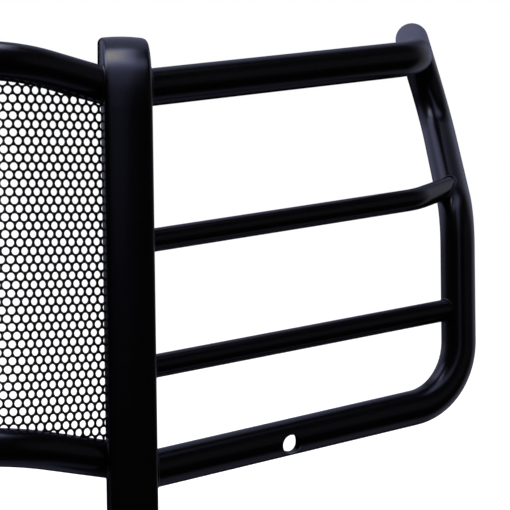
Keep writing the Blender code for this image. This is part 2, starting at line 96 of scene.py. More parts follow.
# Centre tubes and plate
CENTRE_TOP_Z = 0.691
CENTRE_BOTTOM_Z = 0.190
CENTRE_RISE = 0.0345
CENTRE_BEND_X = 0.257
CENTRE_FORWARD = 0.0676
CENTRE_SET_BACK = 0.020
CENTRE_SHORT = 0.020
CENTRE_BEND_RADIUS = 0.160
PLATE_BEND_RADIUS = 0.060
PLATE_THICKNESS = 0.002
PLATE_SET_BACK = 0.008  # how far behind the upright axis the plate's flat sides pass
HOLE_PITCH = 0.5 * INCH
HOLE_RADIUS = 0.00515
HOLE_SIDES = 12
CORNER_KEYS = 4e3  # cell corners that agree to 1 / CORNER_KEYS metres are one corner
HOLE_COLUMN_SHIFT = 0.00075
HOLE_ROW_SHIFT = -0.00502
HOLE_LEAN = 0.015  # how far the columns of holes lean, for each metre up
HOLE_LEVEL_Z = 0.45  # height at which they have not leaned
PLATE_TUCK = 0.004  # how far short of a tube's axis the last row's centres stop

# Wings
WING_ORIGIN_X = 0.410
WING_START_X = 0.424
WING_TOP_Z = 0.6930
WING_UPPER_Z = 0.4872
WING_LOWER_Z = 0.3168
WING_BOTTOM_Z = 0.1794
WING_SWEEP = radians(23.28)
WING_RISE = 0.1383
WING_BOTTOM_RISE = 0.1501
WING_LEVEL_Z = 0.815
WING_LAYBACK = 0.0253
TOP_BAR_END_X = 0.840
RETURN_CORNER = Vector((0.887, 0.430, 0.806))
SHOULDER_CORNER = Vector((0.935, 0.470, 0.685))
CHEEK_CORNER = Vector((0.9115, 0.220, 0.523))
BOTTOM_BAR_END_X = 0.910
WING_BEND_RADII = (0.068, 0.066, 0.090, 0.090, 0.100)
UPPER_BAR_BEND_X = 0.839
UPPER_BAR_BEND_RADIUS = 0.080
UPPER_BAR_MEETS = 0.27
UPPER_BAR_FORWARD = 0.014
LOWER_BAR_MEETS_X = 0.909
LOWER_BAR_SET_BACK = 0.007
CROSS_HOLE_X = 0.6375
CROSS_HOLE_DROP = 0.0078
CROSS_HOLE_RADIUS = 0.0137
CROSS_HOLE_SIDES = 64

# Welds
WELD_RADIUS = 0.0018
WELD_SIDES = 10
WELD_SINK = 0.25  # how deep a bead's middle sits in the corner it fills, as a share of its radius
WELD_TAPER_START = 0.35  # an open bead's radius at its ends, and how much it gains with each point
WELD_TAPER_STEP = 0.3
WELD_FEWEST_POINTS = 8
WELD_RIPPLE = 0.10
WELD_RIPPLE_DECAY = 3.0
WELD_RIPPLE_LENGTH = 0.0042
WELD_STEP = WELD_RIPPLE_LENGTH / 4
WELD_RAYS = 96
WELD_REACH = 0.060  # how far outside a joint the search for its outline starts
CENTRE_WELD_REACH = 1.5  # the same for the thick centre tubes, as a share of WELD_REACH
TAB_WELD_INSET = 0.02

# Softened edges of the flat pieces
MERGE_DISTANCE = 0.00001
EDGE_SEGMENTS = 3
EDGE_ANGLE = radians(50)
PLATE_EDGE = 0.0008
BRACKET_EDGE = 0.0010

# Fasteners
BOLTS_PER_SIDE = 3
LATHE_SIDES = 40
HEX_SIDES = 72
HEX_FLATS = 0.01905
HEX_CHAMFER = radians(28)
HEX_FACE = 0.96  # radius of the flat end of a head or nut, as a share of half its flats
HEX_RIM = 0.0002  # how far the corners of an end without a chamfer are turned down
THREAD_PITCH = 0.00195
THREAD_DEPTH = 0.0009
THREAD_START = 0.45  # share of the shank that is plain, and share that can take whole turns
THREAD_SHARE = 0.52
THREAD_ROOT = 0.35  # place of the root and of the crest, as shares of the pitch
THREAD_CREST = 0.85
BOLT_RADIUS = 0.0060
SHANK_CORE = 0.0006
NUT_BODY = 0.72  # heights in a lock nut, as shares of its own: its hexagon, foot and shoulder of its collar
COLLAR_FOOT = 0.70
COLLAR_SHOULDER = 0.90
COLLAR_RADIUS = 0.46  # as a share of the flats
COLLAR_EDGE = 0.0010
COLLAR_PLAY = 0.0012
RING_LIP = 0.93  # the nylon ring's top, inside and outside
RING_RIM = 0.95
RING_PLAY = 0.0001
RING_LIP_PLAY = 0.0004
WASHER_EDGE = 0.0004
WASHER_PLAY = 0.0008

# Paint and plating: scales are in repeats over a metre, roughly
SLOW_SCALE = 14.0
CLOUD_SCALE = 55.0
PEEL_SCALE = 420.0
GRAIN_SCALE = 1700.0
GRAIN_SHARE = 0.18
PEEL_DEPTH = 0.0002
ZINC_TINT_SCALE = 90.0
ZINC_SCUFF_SCALE = 900.0
ZINC_ROUGHNESS = (0.24, 0.46)
ZINC_METAL = 0.35  # partly diffuse, because there is little for it to mirror from behind
ZINC_BUMP = 0.12
NYLON_SCALE = 300.0
NYLON_ROUGHNESS = (0.40, 0.55)
NYLON_BUMP = 0.15
FINE_DEPTH = 0.0001
COAT_DARK = (0.00012, 0.00008, 0.00016)
COAT_LIGHT = (0.0004, 0.0003, 0.0005)
PLATE_COAT_DARK = (0.00012, 0.00008, 0.00014)
WELD_COAT_LIGHT = (0.0005, 0.0004, 0.0006)
BRACKET_COAT_DARK = (0.006, 0.006, 0.007)
BRACKET_COAT_LIGHT = (0.013, 0.013, 0.015)
ZINC_BLUE = (0.44, 0.46, 0.50)
ZINC_STRAW = (0.58, 0.56, 0.50)
NYLON_DARK = (0.30, 0.42, 0.62)
NYLON_LIGHT = (0.40, 0.52, 0.70)

# Soft boxes over the uprights: width, depth, radiance and colour of each layer
SOFT_BOX_X = 0.27
SOFT_BOX_Y = 0.05
SOFT_BOX_Z = 1.91
SOFT_BOX_LAYERS = (
    (0.28, 0.36, 4.2, (1.04, 1.02, 0.86)),
    (0.42, 0.54, 3.0, (0.92, 0.94, 1.14)),
    (0.60, 0.76, 1.8, (0.73, 0.77, 1.40)),
)

# Camera
CAMERA_PLACE = Vector((0.2011, -2.6783, 0.5441))
CAMERA_YAW = radians(8.0)
CAMERA_PITCH = radians(-1.55)
CAMERA_LENS = 141.18
CAMERA_SENSOR = 36.0

# Floor, and the lamp that lights what isn't mirrored
FLOOR_RADIUS = 400.0
FLOOR_SIDES = 96
FLOOR_DROP = 0.0005
FLOOR_ROUGHNESS = 0.9
FLOOR_GLOW = 0.08  # keeps the floor as pale as the room behind it
WHITE = (1.0, 1.0, 1.0)
LAMP_PLACE = Vector((0.0, -0.4, 3.2))
LAMP_TARGET = Vector((0.0, 0.1, 0.4))
LAMP_SIZE = (3.2, 2.4)
LAMP_WATTS = 60.0

# Colours of what the paint mirrors: in front, behind, and to the right
FRONT_TINT = (0.73, 0.77, 1.40)
REAR_TINT = (0.78, 0.81, 1.33)
RIGHT_TINT = (0.90, 0.92, 1.15)
DARK_ROOM = 0.001


# The layout below is measured from the centre plane and the axes of the uprights at their feet.
# This is where that point lies in the frame.
LAYOUT_ORIGIN = Vector((
    0.0,
    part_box("upright_right")[0].y + UPRIGHT_DEPTH / 2 + UPRIGHT_CROWN,
    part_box("upright_foot_plate_right")[0].z + CAP_THICKNESS + GAP,
))


# Paths


def filleted_path(corners, radii):
    """A polyline through the corners, with each inner corner rounded to a finely stepped arc."""
    points = [corners[0].copy()]
    for before, corner, after, radius in zip(corners, corners[1:], corners[2:], radii):
        inward = (before - corner).normalized()
        outward = (after - corner).normalized()
        half_turn = (pi - inward.angle(outward)) / 2
        steps = max(2, round(2 * half_turn / BEND_STEP))
        centre = corner + (inward + outward).normalized() * radius / cos(half_turn)
        spoke = corner + inward * radius * tan(half_turn) - centre
        axis = outward.cross(inward)
        for step in range(steps + 1):
            points.append(centre + Quaternion(axis, 2 * half_turn * step / steps) @ spoke)
    points.append(corners[-1].copy())
    return points


def on_side(points, side):
    return [Vector((side * p.x, p.y, p.z)) for p in points]


def upright_axis_x(z):
    return UPRIGHT_FOOT_X - z * tan(UPRIGHT_LEAN)


def wing_bar_point(start_z, rise, x):
    across = x - WING_ORIGIN_X
    back = (start_z - WING_LEVEL_Z) * WING_LAYBACK + across * tan(WING_SWEEP)
    return Vector((x, back, start_z + across * rise))


def centre_path(upright_z):
    passes = Vector((upright_axis_x(upright_z), CENTRE_SET_BACK, upright_z))
    bend = Vector((CENTRE_BEND_X, -CENTRE_FORWARD, upright_z + CENTRE_RISE))
    end = passes + (bend - passes).normalized() * CENTRE_SHORT
    return filleted_path(on_side([end, bend], -1) + [bend, end], [CENTRE_BEND_RADIUS] * 2)


def wing_frame_path(side):
    corners = [
        wing_bar_point(WING_TOP_Z, WING_RISE, WING_START_X),
        wing_bar_point(WING_TOP_Z, WING_RISE, TOP_BAR_END_X),
        RETURN_CORNER,
        SHOULDER_CORNER,
        CHEEK_CORNER,
        wing_bar_point(WING_BOTTOM_Z, WING_BOTTOM_RISE, BOTTOM_BAR_END_X),
        wing_bar_point(WING_BOTTOM_Z, WING_BOTTOM_RISE, WING_START_X),
    ]
    return on_side(filleted_path(corners, WING_BEND_RADII), side)


def upper_bar_path(side):
    corners = [
        wing_bar_point(WING_UPPER_Z, WING_RISE, WING_START_X),
        wing_bar_point(WING_UPPER_Z, WING_RISE, UPPER_BAR_BEND_X),
        CHEEK_CORNER.lerp(SHOULDER_CORNER, UPPER_BAR_MEETS) - Vector((0.0, UPPER_BAR_FORWARD, 0.0)),
    ]
    return on_side(filleted_path(corners, [UPPER_BAR_BEND_RADIUS]), side)


def lower_bar_path(side):
    set_back = Vector((0.0, LOWER_BAR_SET_BACK, 0.0))
    ends = [wing_bar_point(WING_LOWER_Z, WING_RISE, x) + set_back for x in (WING_START_X, LOWER_BAR_MEETS_X)]
    return on_side(ends, side)


# Mesh work


def object_from(work, name, material, sharp=TUBE_SHARP):
    bmesh.ops.recalc_face_normals(work, faces=work.faces)
    mesh = bpy.data.meshes.new(name)
    work.to_mesh(mesh)
    work.free()
    mesh.shade_smooth()
    mesh.set_sharp_from_angle(angle=sharp)
    mesh.materials.append(material)
    obj = bpy.data.objects.new(name, mesh)
    bpy.context.scene.collection.objects.link(obj)
    return obj


def ring_frames(path, closed=False):
    """For each point of a path, the two directions across it, carried along without twist."""
    count = len(path)
    tangents = []
    for i, point in enumerate(path):
        before = path[i - 1] if i or closed else point
        after = path[(i + 1) % count] if i + 1 < count or closed else point
        tangents.append((after - before).normalized())
    first = Vector((0, 0, 1)) if abs(tangents[0].z) < STEEP else Vector((0, 1, 0))
    across = (first - tangents[0] * first.dot(tangents[0])).normalized()
    frames = []
    for i, tangent in enumerate(tangents):
        if i:
            across = tangents[i - 1].rotation_difference(tangent) @ across
            across = (across - tangent * across.dot(tangent)).normalized()
        frames.append((across, tangent.cross(across)))
    return frames


def sweep(work, path, radius, sides, closed=False):
    """Adds a round skin along a path. radius may be a function of the point's number. Returns its rings."""
    rings = []
    for i, (point, (u, v)) in enumerate(zip(path, ring_frames(path, closed))):
        r = radius(i) if callable(radius) else radius
        turns = [2 * pi * k / sides for k in range(sides)]
        rings.append([work.verts.new(point + (u * cos(t) + v * sin(t)) * r) for t in turns])
    pairs = list(zip(rings, rings[1:]))
    if closed:
        pairs.append((rings[-1], rings[0]))
    for a, b in pairs:
        bridge(work, a, b)
    return rings


def bridge(work, a, b):
    for k in range(len(a)):
        n = (k + 1) % len(a)
        work.faces.new((a[k], a[n], b[n], b[k]))


def hollow_tube(name, path, radius, material):
    work = bmesh.new()
    outer = sweep(work, path, radius, TUBE_SIDES)
    inner = sweep(work, path, radius - TUBE_WALL, TUBE_SIDES)
    bridge(work, outer[0], inner[0])
    bridge(work, outer[-1], inner[-1])
    return object_from(work, name, material)


def put_in_layout(obj):
    obj.location = LAYOUT_ORIGIN
    return obj


def stand_in(obj, slot, *nodes):
    """The piece rides on the guard and takes the place of these CAD nodes."""
    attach(obj, "root")
    if nodes:
        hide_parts(*nodes)
    return obj


def apply_modifiers(obj):
    evaluated = obj.evaluated_get(bpy.context.evaluated_depsgraph_get())
    mesh = bpy.data.meshes.new_from_object(evaluated)
    obj.modifiers.clear()
    obj.data = mesh


def drill(obj, place, axis, radius, length):
    """Cuts a round hole through a piece."""
    work = bmesh.new()
    bmesh.ops.create_cone(
        work, cap_ends=True, segments=CROSS_HOLE_SIDES, radius1=radius, radius2=radius, depth=length
    )
    tool = object_from(work, "drill", obj.data.materials[0])
    tool.matrix_world = Matrix.Translation(place) @ axis.to_track_quat("Z", "Y").to_matrix().to_4x4()
    boolean = obj.modifiers.new("drill", "BOOLEAN")
    boolean.operation = "DIFFERENCE"
    boolean.solver = "EXACT"
    boolean.object = tool
    apply_modifiers(obj)
    obj.data.set_sharp_from_angle(angle=TUBE_SHARP)
    bpy.data.objects.remove(tool)


# Procedural materials


class Nodes:
    """A short way to write a material's node tree."""

    def __init__(self, tree):
        self.tree = tree

    def add(self, kind, **settings):
        node = self.tree.nodes.new(kind)
        for key, value in settings.items():
            setattr(node, key, value)
        return node

    def link(self, source, target):
        self.tree.links.new(source, target)

    def feed(self, socket, value):
        if isinstance(value, bpy.types.NodeSocket):
            self.link(value, socket)
        else:
            socket.default_value = value

    def math(self, operation, a, b=0.0, c=0.0):
        node = self.add("ShaderNodeMath", operation=operation)
        for socket, value in zip(node.inputs, (a, b, c)):
            self.feed(socket, value)
        return node.outputs[0]

    def ramp(self, value, low, high, to_low=0.0, to_high=1.0):
        node = self.add("ShaderNodeMapRange", interpolation_type="SMOOTHSTEP")
        for socket, number in zip(node.inputs, (value, low, high, to_low, to_high)):
            self.feed(socket, number)
        return node.outputs[0]

    def noise(self, place, scale, detail=2.0, roughness=0.5):
        node = self.add("ShaderNodeTexNoise")
        self.link(place, node.inputs["Vector"])
        node.inputs["Scale"].default_value = scale
        node.inputs["Detail"].default_value = detail
        node.inputs["Roughness"].default_value = roughness
        return node.outputs["Fac"]

    def bump(self, shader, height, strength, distance):
        node = self.add("ShaderNodeBump")
        node.inputs["Strength"].default_value = strength
        node.inputs["Distance"].default_value = distance
        self.link(height, node.inputs["Height"])
        self.link(node.outputs["Normal"], shader.inputs["Normal"])

    def mix_colour(self, factor, a, b):
        node = self.add("ShaderNodeMix", data_type="RGBA")
        self.feed(node.inputs[0], factor)
        self.feed(node.inputs[6], (*a, 1.0) if isinstance(a, tuple) else a)
        self.feed(node.inputs[7], (*b, 1.0) if isinstance(b, tuple) else b)
        return node.outputs[2]


def new_material(name):
    material = bpy.data.materials.new(name)
    material.use_nodes = True
    nodes = Nodes(material.node_tree)
    shader = material.node_tree.nodes["Principled BSDF"]
    place = nodes.add("ShaderNodeTexCoord").outputs["Object"]
    return material, nodes, shader, place


def powder_coat(name, dark, light, smooth, rough, peel):
    """Baked powder paint: orange peel, a finer grain on top, and slow changes of colour and gloss."""
    material, nodes, shader, place = new_material(name)
    slow = nodes.noise(place, SLOW_SCALE, 3.0)
    cloud = nodes.noise(place, CLOUD_SCALE, 4.0, 0.6)
    nodes.link(nodes.mix_colour(slow, dark, light), shader.inputs["Base Color"])
    gloss = nodes.math("MULTIPLY_ADD", cloud, rough - smooth, smooth)
    nodes.link(gloss, shader.inputs["Roughness"])
    orange_peel = nodes.noise(place, PEEL_SCALE, 1.0, 0.4)
    grain = nodes.noise(place, GRAIN_SCALE)
    height = nodes.math("MULTIPLY_ADD", grain, GRAIN_SHARE, orange_peel)
    nodes.bump(shader, height, peel, PEEL_DEPTH)
    return material


def zinc_plating(name):
    """Bright zinc with a faint bluish and straw passivation and fine scuffs."""
    material, nodes, shader, place = new_material(name)
    tint = nodes.noise(place, ZINC_TINT_SCALE, 3.0)
    scuffs = nodes.noise(place, ZINC_SCUFF_SCALE, 5.0, 0.7)
    nodes.link(nodes.mix_colour(tint, ZINC_BLUE, ZINC_STRAW), shader.inputs["Base Color"])
    nodes.link(nodes.ramp(scuffs, 0.3, 0.75, *ZINC_ROUGHNESS), shader.inputs["Roughness"])
    shader.inputs["Metallic"].default_value = ZINC_METAL
    nodes.bump(shader, scuffs, ZINC_BUMP, FINE_DEPTH)
    return material


def nylon(name):
    material, nodes, shader, place = new_material(name)
    mottle = nodes.noise(place, NYLON_SCALE, 3.0)
    nodes.link(nodes.mix_colour(mottle, NYLON_DARK, NYLON_LIGHT), shader.inputs["Base Color"])
    nodes.link(nodes.ramp(mottle, 0.2, 0.8, *NYLON_ROUGHNESS), shader.inputs["Roughness"])
    nodes.bump(shader, mottle, NYLON_BUMP, FINE_DEPTH)
    return material


TUBE_COAT = powder_coat("tube_coat", COAT_DARK, COAT_LIGHT, smooth=0.17, rough=0.27, peel=0.10)
PLATE_COAT = powder_coat("plate_coat", PLATE_COAT_DARK, COAT_LIGHT, smooth=0.26, rough=0.38, peel=0.10)
BRACKET_COAT = powder_coat(
    "bracket_coat", BRACKET_COAT_DARK, BRACKET_COAT_LIGHT, smooth=0.34, rough=0.46, peel=0.22
)
WELD_COAT = powder_coat("weld_coat", COAT_DARK, WELD_COAT_LIGHT, smooth=0.22, rough=0.34, peel=0.30)
ZINC = zinc_plating("zinc_plating")
NYLON = nylon("nylon_ring")


# Tubes


def make_centre_tubes():
    for name, upright_z in (("centre_top_tube", CENTRE_TOP_Z), ("centre_bottom_tube", CENTRE_BOTTOM_Z)):
        tube = hollow_tube(name + "_skin", centre_path(upright_z), MAIN_RADIUS, TUBE_COAT)
        stand_in(put_in_layout(tube), "tube_coat", name)


def make_wing(side, label):
    frame_tube = hollow_tube("wing_frame_skin_" + label, wing_frame_path(side), MAIN_RADIUS, TUBE_COAT)
    axis_point = wing_bar_point(WING_BOTTOM_Z, WING_BOTTOM_RISE, CROSS_HOLE_X)
    hole = Vector((side * axis_point.x, axis_point.y, axis_point.z - CROSS_HOLE_DROP))
    drill(frame_tube, hole, Vector((0, 1, 0)), CROSS_HOLE_RADIUS, 4 * MAIN_RADIUS)
    stand_in(put_in_layout(frame_tube), "tube_coat", "wing_frame_" + label)
    for kind, path in (("upper", upper_bar_path(side)), ("lower", lower_bar_path(side))):
        bar = hollow_tube(f"wing_{kind}_bar_skin_{label}", path, BAR_RADIUS, TUBE_COAT)
        stand_in(put_in_layout(bar), "tube_coat", f"wing_{kind}_bar_{label}")
    return frame_tube


# Uprights


def upright_section(grow):
    """Outline of an upright: a rounded rectangle whose front side, at -Y, is crowned."""
    half_width = UPRIGHT_WIDTH / 2 + grow
    half_depth = UPRIGHT_DEPTH / 2 + grow
    corner = UPRIGHT_CORNER + grow
    points = []
    for quarter in range(4):
        start = quarter * pi / 2
        centre_x = (half_width - corner) * (1 if quarter in (0, 3) else -1)
        centre_y = (half_depth - corner) * (1 if quarter in (0, 1) else -1)
        for step in range(UPRIGHT_CORNER_STEPS + 1):
            angle = start + step * pi / 2 / UPRIGHT_CORNER_STEPS
            points.append(Vector((centre_x + corner * cos(angle), centre_y + corner * sin(angle), 0.0)))
        if quarter == 2:
            span = half_width - corner
            for step in range(1, UPRIGHT_FACE_STEPS):
                points.append(Vector((-span + 2 * span * step / UPRIGHT_FACE_STEPS, -half_depth, 0.0)))
    for point in points:
        if point.y < 0.0:
            fade = min(1.0, -point.y / (half_depth - corner))
            point.y -= UPRIGHT_CROWN * fade * (1.0 - (point.x / half_width) ** 2)
    return points


def upright_rings(work, side, grow):
    """Rings of an upright's skin from the foot to the rear end of its rolled top."""
    section = upright_section(grow)
    bend_z = UPRIGHT_AXIS_TOP - UPRIGHT_BEND_RADIUS
    places = [Matrix.Translation((side * UPRIGHT_FOOT_X, 0.0, 0.0))]
    axis_x = side * upright_axis_x(bend_z)
    steps = round(pi / 2 / BEND_STEP)
    centre = Vector((axis_x, UPRIGHT_BEND_RADIUS, bend_z))
    for step in range(steps + 1):
        turn = Matrix.Rotation(-pi / 2 * step / steps, 4, "X")
        arm = Matrix.Translation((0.0, -UPRIGHT_BEND_RADIUS, 0.0))
        places.append(Matrix.Translation(centre) @ turn @ arm)
    rear = Matrix.Translation((0.0, UPRIGHT_RUN_BACK - UPRIGHT_BEND_RADIUS, 0.0)) @ places[-1]
    places.append(rear)
    return [[work.verts.new(place @ point) for point in section] for place in places]


def make_upright(side, label):
    work = bmesh.new()
    outer = upright_rings(work, side, 0.0)
    inner = upright_rings(work, side, -UPRIGHT_WALL)
    for rings in (outer, inner):
        for a, b in zip(rings, rings[1:]):
            bridge(work, a, b)
    bridge(work, outer[0], inner[0])
    bridge(work, outer[-1], inner[-1])
    upright = object_from(work, "upright_skin_" + label, TUBE_COAT, UPRIGHT_SHARP)
    return stand_in(put_in_layout(upright), "tube_coat", "upright_" + label)


# Punched plate


class PlatePlan:
    """The plate seen from above: flat across the middle, a bend, then a straight facet to each upright."""

    def __init__(self):
        self.end_x = upright_axis_x((CENTRE_TOP_Z + CENTRE_BOTTOM_Z) / 2)
        run = Vector((self.end_x - CENTRE_BEND_X, PLATE_SET_BACK + CENTRE_FORWARD))
        self.sweep = Vector((1, 0)).angle(run)
        setback = PLATE_BEND_RADIUS * tan(self.sweep / 2)
        self.flat = CENTRE_BEND_X - setback
        self.arc_end = self.flat + PLATE_BEND_RADIUS * self.sweep
        self.length = self.arc_end + run.length - setback

    def at(self, u):
        """Place, seen from above, of the point a distance u along the plate from its middle."""
        side = 1 if u >= 0 else -1
        u = abs(u)
        if u <= self.flat:
            x, y = u, -CENTRE_FORWARD
        else:
            turn = min((u - self.flat) / PLATE_BEND_RADIUS, self.sweep)
            beyond = max(u - self.arc_end, 0.0)
            x = self.flat + PLATE_BEND_RADIUS * sin(turn) + beyond * cos(turn)
            y = -CENTRE_FORWARD + PLATE_BEND_RADIUS * (1 - cos(turn)) + beyond * sin(turn)
        return side * x, y


def make_punched_plate():
    """One sheet of hexagonal cells, each with a round hole. Its edges end inside the tubes and uprights."""
    plan = PlatePlan()
    row_step = HOLE_PITCH * sqrt(3) / 2
    corner_reach = HOLE_PITCH / sqrt(3)
    work = bmesh.new()
    corners = {}

    def rise(x):
        return CENTRE_RISE * min(1.0, (plan.end_x - abs(x)) / (plan.end_x - CENTRE_BEND_X))

    def leaned(u, v):
        return u - HOLE_LEAN * (v - HOLE_LEVEL_Z)

    def vertex(u, v):
        x, y = plan.at(leaned(u, v))
        return work.verts.new((x, y, v))

    def shared_corner(u, v):
        key = (round(u * CORNER_KEYS), round(v * CORNER_KEYS))
        if key not in corners:
            corners[key] = vertex(u, v)
        return corners[key]

    columns = round(plan.length / HOLE_PITCH) + 1
    for row in range(round((CENTRE_TOP_Z + CENTRE_RISE) / row_step) + 2):
        v = row * row_step + HOLE_ROW_SHIFT
        for column in range(-columns, columns + 1):
            u = (column + 0.5 * (row % 2)) * HOLE_PITCH + HOLE_COLUMN_SHIFT
            x = plan.at(leaned(u, v))[0]
            low = CENTRE_BOTTOM_Z + rise(x) + PLATE_TUCK
            high = CENTRE_TOP_Z + rise(x) - PLATE_TUCK
            inner_face = upright_axis_x(v) - UPRIGHT_WIDTH / 2
            if not low <= v <= high or abs(x) > inner_face + 2 * PLATE_TUCK:
                continue
            hexagon = [pi / 6 + k * pi / 3 for k in range(6)]
            outer = [shared_corner(u + corner_reach * cos(t), v + corner_reach * sin(t)) for t in hexagon]
            turns = [pi / 6 + 2 * pi * k / HOLE_SIDES for k in range(HOLE_SIDES)]
            rim = [vertex(u + HOLE_RADIUS * cos(t), v + HOLE_RADIUS * sin(t)) for t in turns]
            half = HOLE_SIDES // 6
            for k in range(6):
                edge = [rim[(k * half + s) % HOLE_SIDES] for s in range(half, -1, -1)]
                work.faces.new([outer[k], outer[(k + 1) % 6], *edge])
    plate = object_from(work, "punched_plate_sheet", PLATE_COAT, PLATE_SHARP)
    solidify = plate.modifiers.new("sheet", "SOLIDIFY")
    solidify.thickness = PLATE_THICKNESS
    solidify.offset = 0.0
    apply_modifiers(plate)
    plate.data.set_sharp_from_angle(angle=PLATE_SHARP)
    stand_in(put_in_layout(plate), "plate_coat", "punched_plate")


# Welds


def surface_of(obj):
    return BVHTree.FromObject(obj, bpy.context.evaluated_depsgraph_get())


def bead(name, path, closed):
    """A rippled weld bead along a path."""
    lengths = [(b - a).length for a, b in zip(path, path[1:])]
    step = sum(lengths) / len(lengths)

    def radius(i):
        phase = (i * step / WELD_RIPPLE_LENGTH) % 1.0
        from_end = min(i, len(path) - 1 - i)
        taper = 1.0 if closed else min(1.0, WELD_TAPER_START + WELD_TAPER_STEP * from_end)
        return WELD_RADIUS * taper * (1.0 - WELD_RIPPLE * (1.0 - exp(-WELD_RIPPLE_DECAY * phase)))

    work = bmesh.new()
    rings = sweep(work, path, radius, WELD_SIDES, closed)
    if not closed:
        work.faces.new(rings[0])
        work.faces.new(rings[-1])
    stand_in(put_in_layout(object_from(work, name, WELD_COAT, WELD_SHARP)), "tube_coat")


def resampled(points, step, closed):
    """The same line with points an even step apart."""
    if closed:
        points = points + [points[0]]
    lengths = [(b - a).length for a, b in zip(points, points[1:])]
    count = max(WELD_FEWEST_POINTS, round(sum(lengths) / step))
    places, segment, walked = [], 0, 0.0
    for i in range(count if closed else count + 1):
        target = sum(lengths) * i / count
        while segment < len(lengths) - 1 and walked + lengths[segment] < target:
            walked += lengths[segment]
            segment += 1
        share = (target - walked) / lengths[segment]
        places.append(points[segment].lerp(points[segment + 1], min(1.0, share)))
    return places


def weld_around(name, start, end, radius, surface):
    """A bead where a round tube that runs from start to end meets a surface."""
    heading = (end - start).normalized()
    u, v = ring_frames([start, end])[0]
    found = []
    for k in range(WELD_RAYS):
        turn = 2 * pi * k / WELD_RAYS
        spoke = u * cos(turn) + v * sin(turn)
        hit = surface.ray_cast(start + spoke * radius, heading)[0]
        if hit is not None:
            found.append(hit + spoke * WELD_RADIUS * WELD_SINK - heading * WELD_RADIUS * WELD_SINK)
    bead(name, resampled(found, WELD_STEP, True), True)


def make_welds(side, label, upright, wing_frame):
    post = surface_of(upright)
    tube = surface_of(wing_frame)
    bars = (
        ("wing_top", WING_TOP_Z, WING_RISE, MAIN_RADIUS),
        ("wing_upper", WING_UPPER_Z, WING_RISE, BAR_RADIUS),
        ("wing_lower", WING_LOWER_Z, WING_RISE, BAR_RADIUS),
        ("wing_bottom", WING_BOTTOM_Z, WING_BOTTOM_RISE, MAIN_RADIUS),
    )
    for kind, start_z, rise, radius in bars:
        ends = [wing_bar_point(start_z, rise, x) for x in (WING_START_X + WELD_REACH, WING_START_X)]
        near, far = on_side(ends, side)
        weld_around(f"weld_{kind}_upright_{label}", near, far, radius, post)
    for kind, path in (("upper", upper_bar_path(side)), ("lower", lower_bar_path(side))):
        heading = (path[-1] - path[-2]).normalized()
        start = path[-1] - heading * WELD_REACH
        weld_around(f"weld_wing_{kind}_frame_{label}", start, path[-1], BAR_RADIUS, tube)
    for kind, upright_z in (("top", CENTRE_TOP_Z), ("bottom", CENTRE_BOTTOM_Z)):
        path = centre_path(upright_z)
        tip, inside = (path[-1], path[-2]) if side > 0 else (path[0], path[1])
        heading = (tip - inside).normalized()
        start = tip - heading * CENTRE_WELD_REACH * WELD_REACH
        weld_around(f"weld_centre_{kind}_{label}", start, tip, MAIN_RADIUS, post)


# Closing plates, tabs and brackets


def soften_edges(obj, width):
    """Rounds the cut edges of a flat CAD piece. Its own mesh stays as packed."""
    weld = obj.modifiers.new("weld", "WELD")
    weld.merge_threshold = MERGE_DISTANCE
    bevel = obj.modifiers.new("soft_edges", "BEVEL")
    bevel.width = width
    bevel.segments = EDGE_SEGMENTS
    bevel.limit_method = "ANGLE"
    bevel.angle_limit = EDGE_ANGLE
    bevel.harden_normals = True


def dress_cad_node(node, material, edge):
    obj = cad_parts[node]
    obj.data.materials.clear()
    obj.data.materials.append(material)
    soften_edges(obj, edge)


def make_plates(label):
    for node in ("mount_tab_", "upright_rear_cap_", "upright_foot_plate_"):
        dress_cad_node(node + label, TUBE_COAT, PLATE_EDGE)
    dress_cad_node("frame_bracket_" + label, BRACKET_COAT, BRACKET_EDGE)


def make_plate_welds(side, label):
    """Beads round the closing plates and down both faces of the tab."""
    outline = upright_section(-GAP)
    rear = Matrix.Translation((side * upright_axis_x(UPRIGHT_AXIS_TOP), UPRIGHT_RUN_BACK, UPRIGHT_AXIS_TOP))
    rear = rear @ Matrix.Rotation(-pi / 2, 4, "X")
    foot = Matrix.Translation((side * UPRIGHT_FOOT_X, 0.0, 0.0))
    for kind, place in (("rear_cap", rear), ("foot", foot)):
        ring = [place @ p for p in outline]
        bead(f"weld_{kind}_{label}", resampled(ring, WELD_STEP, True), True)
    low, high = (corner - LAYOUT_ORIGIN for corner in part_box("mount_tab_" + label))
    for kind, x in (("inner", low.x), ("outer", high.x)):
        ends = [Vector((x, UPRIGHT_DEPTH / 2, z)) for z in (low.z + TAB_WELD_INSET, high.z - TAB_WELD_INSET)]
        bead(f"weld_tab_{kind}_{label}", resampled(ends, WELD_STEP, False), False)


# Fasteners


def lathe(work, profile):
    """Turns a closed profile of (radius, height) pairs about the Z axis."""
    rings = []
    for radius, height in profile:
        turns = [2 * pi * k / LATHE_SIDES for k in range(LATHE_SIDES)]
        rings.append([work.verts.new((radius * cos(t), radius * sin(t), height)) for t in turns])
    for a, b in zip(rings, rings[1:] + rings[:1]):
        bridge(work, a, b)


